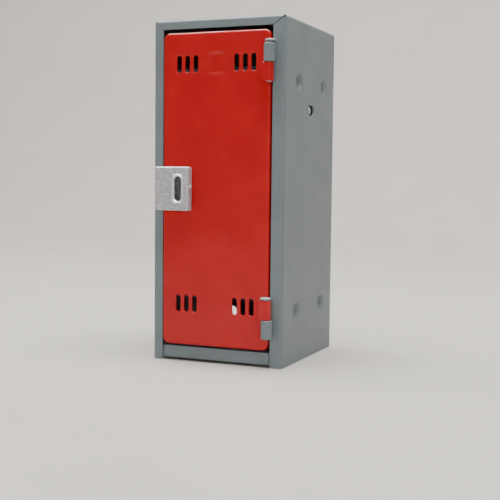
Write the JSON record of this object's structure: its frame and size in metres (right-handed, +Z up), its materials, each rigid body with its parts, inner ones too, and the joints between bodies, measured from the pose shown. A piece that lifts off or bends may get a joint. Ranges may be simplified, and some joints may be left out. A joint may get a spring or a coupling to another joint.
{
  "type": "miniature school locker",
  "caption": "Miniature sheet-metal school locker: grey folded cabinet, red vented door on pin hinges, cast pull plate, shelves and a rod with twisted-wire coat hangers.",
  "frame": {"origin": "centre of the bounding box's base, on the surface that the locker stands on", "axes": "+Z up, +X towards the hinge side, -Y towards the front"},
  "size_m": [0.031, 0.0352, 0.075],
  "materials": {
    "grey_paint": "semi-gloss grey enamel",
    "red_paint": "gloss red enamel",
    "cast_metal": "rough as-cast, rubbed bright at its edges",
    "plain_steel": "dull plated",
    "black_wire": "glossy black-plated wire"
  },
  "bodies": {
    "cabinet": {"cabinet_wrap": "grey_paint", "back_panel": "grey_paint", "floor_pan": "grey_paint", "hat_shelf": "grey_paint", "shoe_shelf": "grey_paint", "hanger_rod": "plain_steel", "upper_hinge_frame_leaf": "grey_paint", "lower_hinge_frame_leaf": "grey_paint", "upper_hinge_pin": "plain_steel", "lower_hinge_pin": "plain_steel"},
    "door": {"door_panel": "red_paint", "upper_hinge_door_leaf": "red_paint", "lower_hinge_door_leaf": "red_paint", "handle": "cast_metal", "lower_handle_washer": "plain_steel", "upper_handle_washer": "plain_steel"},
    "hanger": {"hanger_hook": "black_wire", "hanger_frame": "black_wire", "hanger_collar": "black_wire"},
    "spare_hanger": {"spare_hanger_hook": "black_wire", "spare_hanger_frame": "black_wire", "spare_hanger_collar": "black_wire"}
  },
  "joints": [
    {"name": "door_swing", "type": "hinge", "parent": "cabinet", "child": "door", "pos_m": [0.0125, -0.01638, 0.038], "axis": [0, 0, 1], "range_deg": [0, 180]},
    {"name": "hanger_swing", "type": "hinge", "parent": "cabinet", "child": "hanger", "pos_m": [-0.004, 0.00077, 0.05585], "axis": [1, 0, 0], "range_deg": [-18, 18]},
    {"name": "spare_hanger_swing", "type": "hinge", "parent": "cabinet", "child": "spare_hanger", "pos_m": [0.004, 0.00077, 0.05585], "axis": [1, 0, 0], "range_deg": [-18, 18]}
  ]
}
